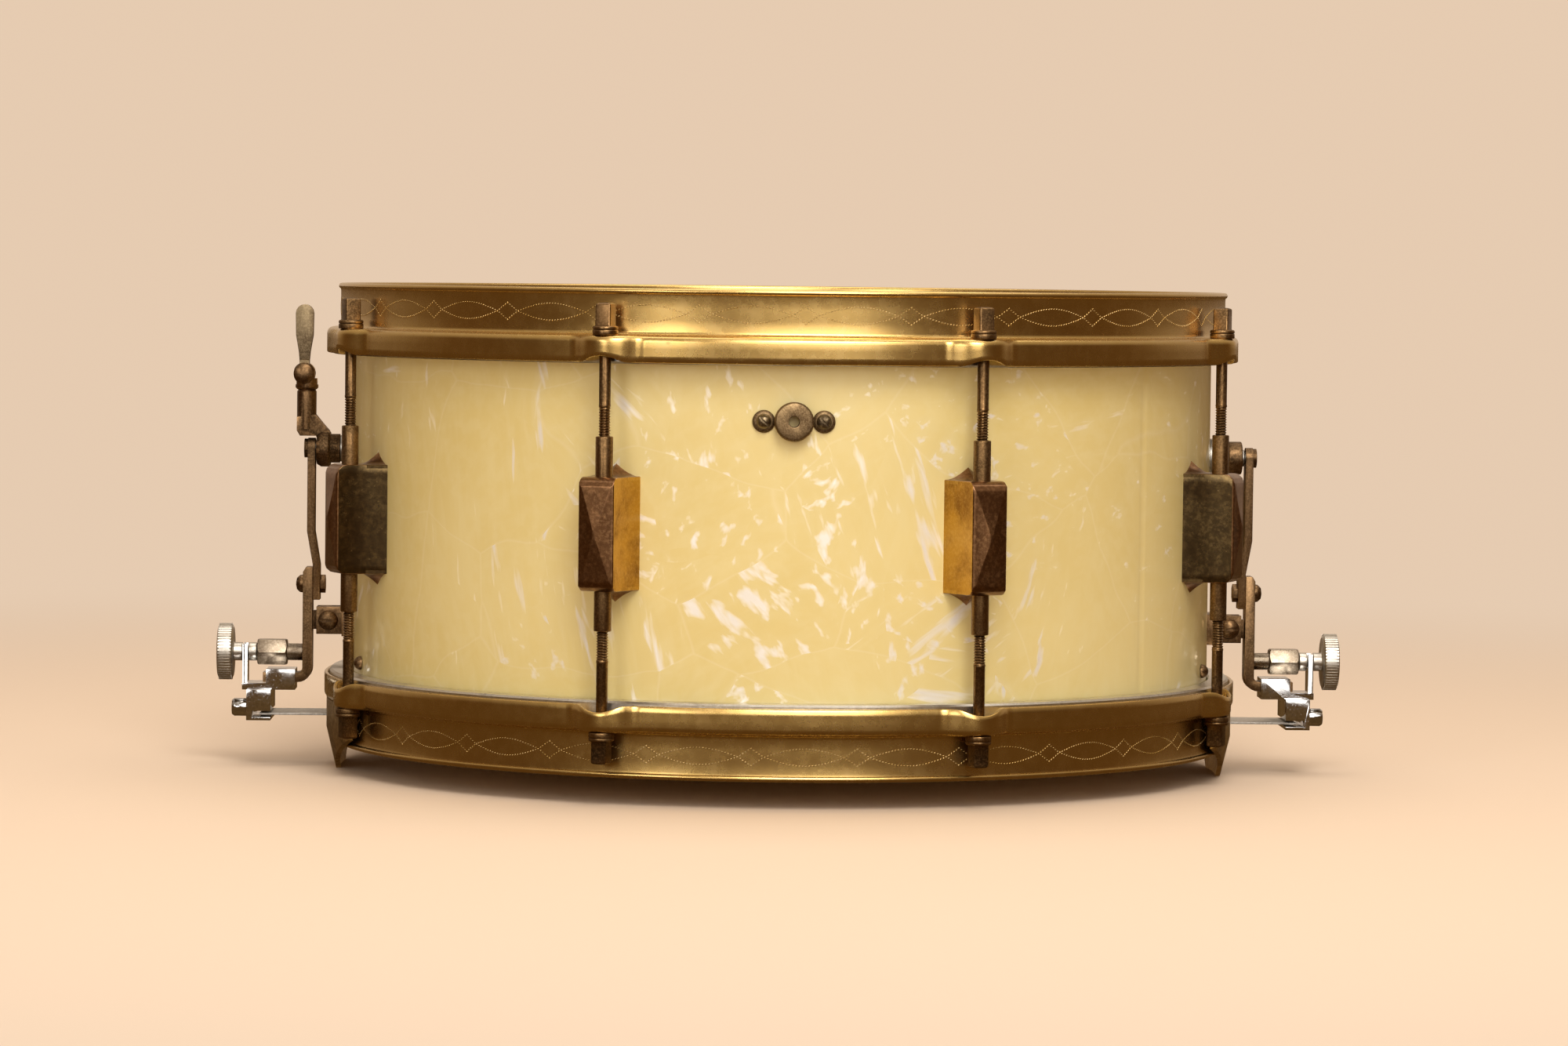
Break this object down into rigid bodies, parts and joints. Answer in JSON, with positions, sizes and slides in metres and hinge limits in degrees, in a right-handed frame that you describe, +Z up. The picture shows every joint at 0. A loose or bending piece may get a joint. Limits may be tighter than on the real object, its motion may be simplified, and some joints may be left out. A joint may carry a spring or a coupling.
{
  "type": "snare drum",
  "caption": "Snare drum with a pearl-covered shell, engraved double-flanged hoops, box lugs, square-head tension rods and a throw-lever strainer with thumb screws on both sides.",
  "frame": {"origin": "on the surface that the two snare guards stand on, under the shell's axis", "axes": "+Z up along the shell's axis; the tone control faces -Y; the throw lever is on the -X side"},
  "size_m": [0.4668, 0.3778, 0.2001],
  "materials": {
    "maple": "satin",
    "pearl": "aged pearl flakes, glossy",
    "gold_brass": "worn plating, engraved",
    "dark_bronze": "satin, darkened",
    "lug_bronze": "worn plating",
    "nickel": "worn nickel",
    "bright_chrome": "polished",
    "steel": "plain",
    "ring_metal": "dull silver",
    "drumhead": "coated",
    "snare_film": "thin, translucent",
    "felt": "felt"
  },
  "bodies": {
    "drum": {"shell": "maple", "shell_wrap": "pearl", "batter_hoop": "gold_brass", "snare_hoop": "gold_brass", "batter_head": "drumhead", "snare_head": "snare_film", "batter_flesh_hoop": "ring_metal", "snare_flesh_hoop": "ring_metal", "lugs": "lug_bronze", "lug_tubes": "dark_bronze", "rod_washers": "dark_bronze", "shell_screws": "steel", "tone_bracket": "steel", "tone_pin": "steel", "tone_screws": "dark_bronze", "tone_cups": "gold_brass", "rod_bushings": "nickel", "clevises": "dark_bronze", "pivot_screws": "dark_bronze", "dome_screws": "dark_bronze", "snare_guards": "dark_bronze"},
    "throw": {"cross_rod": "steel", "cam_collar": "dark_bronze", "throw_lever": "dark_bronze", "handle_pin": "dark_bronze"},
    "handle": {"lever_handle": "dark_bronze"},
    "left_arm": {"strap_left": "dark_bronze", "arm_left": "dark_bronze", "lap_bolt_left": "dark_bronze", "post_left": "nickel"},
    "right_arm": {"strap_right": "dark_bronze", "arm_right": "dark_bronze", "lap_bolt_right": "dark_bronze", "post_right": "nickel"},
    "left_slide": {"slide_left": "bright_chrome"},
    "right_slide": {"slide_right": "bright_chrome"},
    "left_thumb": {"thumb_screw_left": "nickel"},
    "right_thumb": {"thumb_screw_right": "nickel"},
    "left_clamp": {"clamp_screw_left": "nickel"},
    "right_clamp": {"clamp_screw_right": "nickel"},
    "snares": {"snare_wires": "steel"},
    "tone_knob": {"tone_knob": "gold_brass"},
    "tone_arm": {"tone_arm": "steel", "tone_felt": "felt"},
    "batter_rod_1": {"batter_rod_1": "dark_bronze"},
    "batter_rod_2": {"batter_rod_2": "dark_bronze"},
    "batter_rod_3": {"batter_rod_3": "dark_bronze"},
    "batter_rod_4": {"batter_rod_4": "dark_bronze"},
    "batter_rod_5": {"batter_rod_5": "dark_bronze"},
    "batter_rod_6": {"batter_rod_6": "dark_bronze"},
    "batter_rod_7": {"batter_rod_7": "dark_bronze"},
    "batter_rod_8": {"batter_rod_8": "dark_bronze"},
    "snare_rod_1": {"snare_rod_1": "dark_bronze"},
    "snare_rod_2": {"snare_rod_2": "dark_bronze"},
    "snare_rod_3": {"snare_rod_3": "dark_bronze"},
    "snare_rod_4": {"snare_rod_4": "dark_bronze"},
    "snare_rod_5": {"snare_rod_5": "dark_bronze"},
    "snare_rod_6": {"snare_rod_6": "dark_bronze"},
    "snare_rod_7": {"snare_rod_7": "dark_bronze"},
    "snare_rod_8": {"snare_rod_8": "dark_bronze"}
  },
  "joints": [
    {"name": "throw_turn", "type": "hinge", "parent": "drum", "child": "throw", "pos_m": [0, 0, 0.1313], "axis": [1, 0, 0], "range_deg": [0, 90]},
    {"name": "handle_fold", "type": "hinge", "parent": "throw", "child": "handle", "pos_m": [-0.1984, 0, 0.1623], "axis": [0, -1, 0], "range_deg": [0, 90]},
    {"name": "left_arm_swing", "type": "hinge", "parent": "drum", "child": "left_arm", "pos_m": [-0.1876, 0, 0.06], "axis": [0, -1, 0], "range_deg": [0, 3.05]},
    {"name": "left_slide_travel", "type": "slide", "parent": "left_arm", "child": "left_slide", "axis": [-1, 0, 0], "range_m": [0, 0.005]},
    {"name": "left_thumb_turn", "type": "hinge", "parent": "left_slide", "child": "left_thumb", "pos_m": [-0.217, 0, 0.0464], "axis": [-1, 0, 0], "range_deg": [0, 1440]},
    {"name": "left_clamp_turn", "type": "hinge", "parent": "left_slide", "child": "left_clamp", "pos_m": [-0.2206, 0, 0.0232], "axis": [-1, 0, 0], "range_deg": [0, 720]},
    {"name": "right_arm_swing", "type": "hinge", "parent": "drum", "child": "right_arm", "pos_m": [0.1876, 0, 0.06], "axis": [0, 1, 0], "range_deg": [0, 3.05]},
    {"name": "right_slide_travel", "type": "slide", "parent": "right_arm", "child": "right_slide", "axis": [1, 0, 0], "range_m": [0, 0.005]},
    {"name": "right_thumb_turn", "type": "hinge", "parent": "right_slide", "child": "right_thumb", "pos_m": [0.217, 0, 0.0464], "axis": [1, 0, 0], "range_deg": [0, 1440]},
    {"name": "right_clamp_turn", "type": "hinge", "parent": "right_slide", "child": "right_clamp", "pos_m": [0.2206, 0, 0.0232], "axis": [1, 0, 0], "range_deg": [0, 720]},
    {"name": "snare_drop", "type": "slide", "parent": "drum", "child": "snares", "axis": [0, 0, -1], "range_m": [0, 0.0015]},
    {"name": "tone_turn", "type": "hinge", "parent": "drum", "child": "tone_knob", "pos_m": [0, -0.1778, 0.1496], "axis": [0, -1, 0], "range_deg": [0, 180]},
    {"name": "tone_arm_lift", "type": "hinge", "parent": "drum", "child": "tone_arm", "pos_m": [0, -0.163, 0.1596], "axis": [1, 0, 0], "range_deg": [0, 9.1]},
    {"name": "batter_rod_1_turn", "type": "hinge", "parent": "drum", "child": "batter_rod_1", "pos_m": [0.07271, -0.17554, 0.18205], "axis": [0, 0, 1], "range_deg": [-720, 720]},
    {"name": "batter_rod_2_turn", "type": "hinge", "parent": "drum", "child": "batter_rod_2", "pos_m": [0.17554, -0.07271, 0.18205], "axis": [0, 0, 1], "range_deg": [-720, 720]},
    {"name": "batter_rod_3_turn", "type": "hinge", "parent": "drum", "child": "batter_rod_3", "pos_m": [0.17554, 0.07271, 0.18205], "axis": [0, 0, 1], "range_deg": [-720, 720]},
    {"name": "batter_rod_4_turn", "type": "hinge", "parent": "drum", "child": "batter_rod_4", "pos_m": [0.07271, 0.17554, 0.18205], "axis": [0, 0, 1], "range_deg": [-720, 720]},
    {"name": "batter_rod_5_turn", "type": "hinge", "parent": "drum", "child": "batter_rod_5", "pos_m": [-0.07271, 0.17554, 0.18205], "axis": [0, 0, 1], "range_deg": [-720, 720]},
    {"name": "batter_rod_6_turn", "type": "hinge", "parent": "drum", "child": "batter_rod_6", "pos_m": [-0.17554, 0.07271, 0.18205], "axis": [0, 0, 1], "range_deg": [-720, 720]},
    {"name": "batter_rod_7_turn", "type": "hinge", "parent": "drum", "child": "batter_rod_7", "pos_m": [-0.17554, -0.07271, 0.18205], "axis": [0, 0, 1], "range_deg": [-720, 720]},
    {"name": "batter_rod_8_turn", "type": "hinge", "parent": "drum", "child": "batter_rod_8", "pos_m": [-0.07271, -0.17554, 0.18205], "axis": [0, 0, 1], "range_deg": [-720, 720]},
    {"name": "snare_rod_1_turn", "type": "hinge", "parent": "drum", "child": "snare_rod_1", "pos_m": [0.07271, -0.17554, 0.02905], "axis": [0, 0, -1], "range_deg": [-720, 720]},
    {"name": "snare_rod_2_turn", "type": "hinge", "parent": "drum", "child": "snare_rod_2", "pos_m": [0.17554, -0.07271, 0.02905], "axis": [0, 0, -1], "range_deg": [-720, 720]},
    {"name": "snare_rod_3_turn", "type": "hinge", "parent": "drum", "child": "snare_rod_3", "pos_m": [0.17554, 0.07271, 0.02905], "axis": [0, 0, -1], "range_deg": [-720, 720]},
    {"name": "snare_rod_4_turn", "type": "hinge", "parent": "drum", "child": "snare_rod_4", "pos_m": [0.07271, 0.17554, 0.02905], "axis": [0, 0, -1], "range_deg": [-720, 720]},
    {"name": "snare_rod_5_turn", "type": "hinge", "parent": "drum", "child": "snare_rod_5", "pos_m": [-0.07271, 0.17554, 0.02905], "axis": [0, 0, -1], "range_deg": [-720, 720]},
    {"name": "snare_rod_6_turn", "type": "hinge", "parent": "drum", "child": "snare_rod_6", "pos_m": [-0.17554, 0.07271, 0.02905], "axis": [0, 0, -1], "range_deg": [-720, 720]},
    {"name": "snare_rod_7_turn", "type": "hinge", "parent": "drum", "child": "snare_rod_7", "pos_m": [-0.17554, -0.07271, 0.02905], "axis": [0, 0, -1], "range_deg": [-720, 720]},
    {"name": "snare_rod_8_turn", "type": "hinge", "parent": "drum", "child": "snare_rod_8", "pos_m": [-0.07271, -0.17554, 0.02905], "axis": [0, 0, -1], "range_deg": [-720, 720]}
  ],
  "couplings": [
    {"joint": "left_arm_swing", "follows": "throw_turn", "ratio": 0.033333},
    {"joint": "left_thumb_turn", "follows": "left_slide_travel", "rad_per_m": 5026.5},
    {"joint": "right_arm_swing", "follows": "throw_turn", "ratio": 0.033333},
    {"joint": "right_thumb_turn", "follows": "right_slide_travel", "rad_per_m": 5026.5},
    {"joint": "snare_drop", "follows": "throw_turn", "m_per_rad": 0.000923},
    {"joint": "tone_arm_lift", "follows": "tone_turn", "ratio": 0.05}
  ]
}
